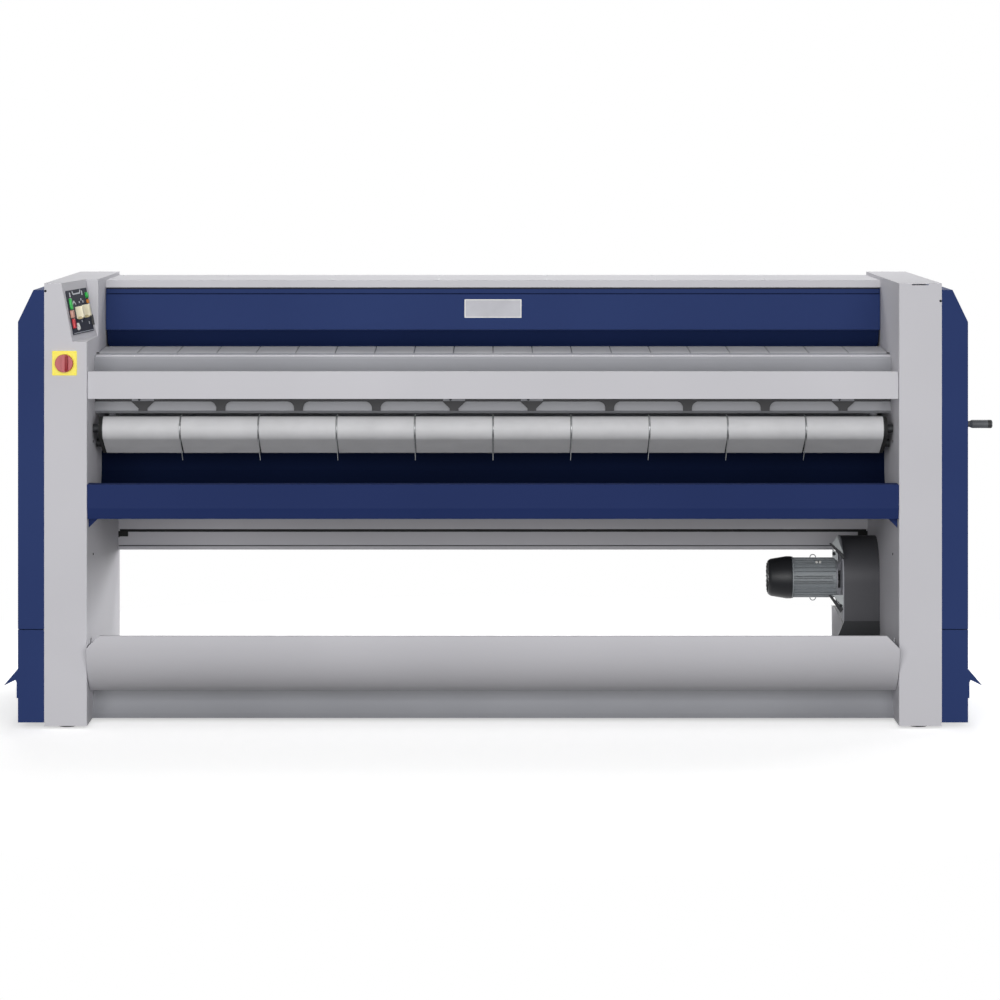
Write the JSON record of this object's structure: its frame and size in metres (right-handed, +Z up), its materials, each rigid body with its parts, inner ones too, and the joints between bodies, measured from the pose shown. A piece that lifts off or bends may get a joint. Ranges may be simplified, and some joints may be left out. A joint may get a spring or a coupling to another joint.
{
  "type": "flatwork ironer",
  "caption": "Free-standing industrial cylinder ironer: linen feeds over belts, passes a heated roll and returns to a front tray.",
  "frame": {"origin": "on the floor, midway between the two columns and midway through their depth", "axes": "+X to the right seen from the feeding side, +Y to the rear, +Z up"},
  "size_m": [3.59, 1.263, 1.591],
  "materials": {
    "casing_grey": "light grey powder coat, satin",
    "panel_blue": "dark blue powder coat, satin",
    "panel_navy": "navy powder coat, satin",
    "frame_steel": "grey paint",
    "bracket_grey": "dark grey paint",
    "fan_dark": "dark grey paint",
    "roller_steel": "turned steel",
    "cylinder_steel": "polished",
    "bearing_iron": "cast, oiled",
    "plate_silver": "brushed",
    "motor_alloy": "grey paint on ribbed casting",
    "belt_fabric": "woven heat-proof fabric",
    "foot_rubber": "matt",
    "grip_grey": "matt",
    "switch_yellow": "gloss",
    "switch_red": "gloss",
    "panel_black": "matt film",
    "lamp_amber": "gloss",
    "key_green": "gloss",
    "key_cream": "gloss",
    "key_red": "gloss"
  },
  "bodies": {
    "frame": {"base_crossmember": "casing_grey", "column_caps": "casing_grey", "control_panel": "panel_black", "drive_motor": "motor_alloy", "exhaust_duct": "fan_dark", "fan_bracket": "casing_grey", "fan_housing": "fan_dark", "fan_motor": "motor_alloy", "feed_belts": "belt_fabric", "feed_table": "frame_steel", "front_beam": "panel_blue", "front_rail": "casing_grey", "gearbox": "bearing_iron", "guide_brackets": "bracket_grey", "guide_plate": "casing_grey", "guide_wires": "roller_steel", "heating_elements": "roller_steel", "hood": "panel_blue", "indicator_lamps": "lamp_amber", "inner_apron": "panel_navy", "ironing_belts": "belt_fabric", "left_column_cover": "casing_grey", "left_lower_panel": "panel_blue", "left_side_frame": "frame_steel", "left_upper_panel": "panel_blue", "levelling_feet": "foot_rubber", "main_switch_plate": "switch_yellow", "name_plate": "plate_silver", "rear_lower_rail": "casing_grey", "rear_panel": "casing_grey", "receiving_tray": "casing_grey", "return_belts": "belt_fabric", "right_column_cover": "casing_grey", "right_lower_panel": "panel_blue", "right_side_frame": "frame_steel", "right_upper_panel": "panel_blue", "roller_bearings": "bearing_iron", "stripper_plate": "frame_steel", "supply_inlet": "panel_blue", "top_cover": "casing_grey", "transfer_chains": "bearing_iron"},
    "cylinder": {"heated_cylinder": "cylinder_steel"},
    "nip_roll": {"nip_roller": "roller_steel"},
    "lower_roll": {"lower_belt_roller": "roller_steel"},
    "rear_roll": {"rear_belt_roller": "roller_steel"},
    "tension_roll": {"tension_roller": "roller_steel"},
    "nose_roll": {"feed_nose_roller": "roller_steel"},
    "feed_rear_roll": {"feed_rear_roller": "roller_steel"},
    "return_roll": {"return_roller": "roller_steel"},
    "tail_roll": {"return_tail_roller": "roller_steel"},
    "guard_flap": {"finger_guard": "panel_navy"},
    "fan_rotor": {"fan_impeller": "fan_dark"},
    "switch_knob": {"main_switch_knob": "switch_red"},
    "crank": {"crank_arm": "bracket_grey"},
    "grip": {"crank_grip": "grip_grey"},
    "start_key_cap": {"start_key": "key_green"},
    "feed_key_cap": {"feed_key": "key_green"},
    "speed_key_cap": {"speed_key": "key_cream"},
    "heat_key_cap": {"heat_key": "key_cream"},
    "stop_key_cap": {"stop_key": "key_red"}
  },
  "joints": [
    {"name": "cylinder_spin", "type": "hinge", "parent": "frame", "child": "cylinder", "pos_m": [0, 0.215, 1.1], "axis": [1, 0, 0], "continuous": true},
    {"name": "nip_roller_spin", "type": "hinge", "parent": "frame", "child": "nip_roll", "pos_m": [0, 0.16568, 1.37969], "axis": [1, 0, 0], "continuous": true},
    {"name": "lower_roller_spin", "type": "hinge", "parent": "frame", "child": "lower_roll", "pos_m": [0, -0.03095, 0.958], "axis": [1, 0, 0], "continuous": true},
    {"name": "rear_roller_spin", "type": "hinge", "parent": "frame", "child": "rear_roll", "pos_m": [0, 0.465, 0.775], "axis": [1, 0, 0], "continuous": true},
    {"name": "tension_roller_spin", "type": "hinge", "parent": "frame", "child": "tension_roll", "pos_m": [0, 0.465, 1.44], "axis": [1, 0, 0], "continuous": true},
    {"name": "nose_roller_spin", "type": "hinge", "parent": "frame", "child": "nose_roll", "pos_m": [0, -0.267, 1.28], "axis": [1, 0, 0], "continuous": true},
    {"name": "feed_rear_roller_spin", "type": "hinge", "parent": "frame", "child": "feed_rear_roll", "pos_m": [0, 0.04293, 1.308], "axis": [1, 0, 0], "continuous": true},
    {"name": "return_roller_spin", "type": "hinge", "parent": "frame", "child": "return_roll", "pos_m": [0, -0.37, 1.0565], "axis": [1, 0, 0], "continuous": true},
    {"name": "tail_roller_spin", "type": "hinge", "parent": "frame", "child": "tail_roll", "pos_m": [0, -0.245, 0.994], "axis": [1, 0, 0], "continuous": true},
    {"name": "fan_spin", "type": "hinge", "parent": "frame", "child": "fan_rotor", "pos_m": [0, 0.225, 0.445], "axis": [1, 0, 0], "continuous": true},
    {"name": "guard_swing", "type": "hinge", "parent": "frame", "child": "guard_flap", "pos_m": [0, 0.05193, 1.3885], "axis": [1, 0, 0], "range_deg": [0, 25]},
    {"name": "switch_turn", "type": "hinge", "parent": "frame", "child": "switch_knob", "pos_m": [-1.53, -0.6, 1.306], "axis": [0, 1, 0], "range_deg": [0, 90]},
    {"name": "crank_turn", "type": "hinge", "parent": "frame", "child": "crank", "pos_m": [0, -0.425, 1.197], "axis": [1, 0, 0], "continuous": true},
    {"name": "grip_turn", "type": "hinge", "parent": "crank", "child": "grip", "pos_m": [0, -0.425, 1.077], "axis": [1, 0, 0], "continuous": true},
    {"name": "start_key_press", "type": "slide", "parent": "frame", "child": "start_key_cap", "axis": [-0.9745, 0.1235, -0.1874], "range_m": [0, 0.002], "stiffness_N_per_m": 400},
    {"name": "feed_key_press", "type": "slide", "parent": "frame", "child": "feed_key_cap", "axis": [-0.9745, 0.1235, -0.1874], "range_m": [0, 0.002], "stiffness_N_per_m": 400},
    {"name": "speed_key_press", "type": "slide", "parent": "frame", "child": "speed_key_cap", "axis": [-0.9745, 0.1235, -0.1874], "range_m": [0, 0.002], "stiffness_N_per_m": 400},
    {"name": "heat_key_press", "type": "slide", "parent": "frame", "child": "heat_key_cap", "axis": [-0.9745, 0.1235, -0.1874], "range_m": [0, 0.002], "stiffness_N_per_m": 400},
    {"name": "stop_key_press", "type": "slide", "parent": "frame", "child": "stop_key_cap", "axis": [-0.9745, 0.1235, -0.1874], "range_m": [0, 0.002], "stiffness_N_per_m": 400}
  ],
  "couplings": [
    {"joint": "nip_roller_spin", "follows": "cylinder_spin", "ratio": -5.7619},
    {"joint": "lower_roller_spin", "follows": "cylinder_spin", "ratio": -5.7619},
    {"joint": "rear_roller_spin", "follows": "cylinder_spin", "ratio": -5.7619},
    {"joint": "tension_roller_spin", "follows": "cylinder_spin", "ratio": -5.7619},
    {"joint": "nose_roller_spin", "follows": "cylinder_spin", "ratio": 6.3684},
    {"joint": "feed_rear_roller_spin", "follows": "cylinder_spin", "ratio": 11.524},
    {"joint": "return_roller_spin", "follows": "cylinder_spin", "ratio": -5.7619},
    {"joint": "tail_roller_spin", "follows": "cylinder_spin", "ratio": -6.8169}
  ]
}
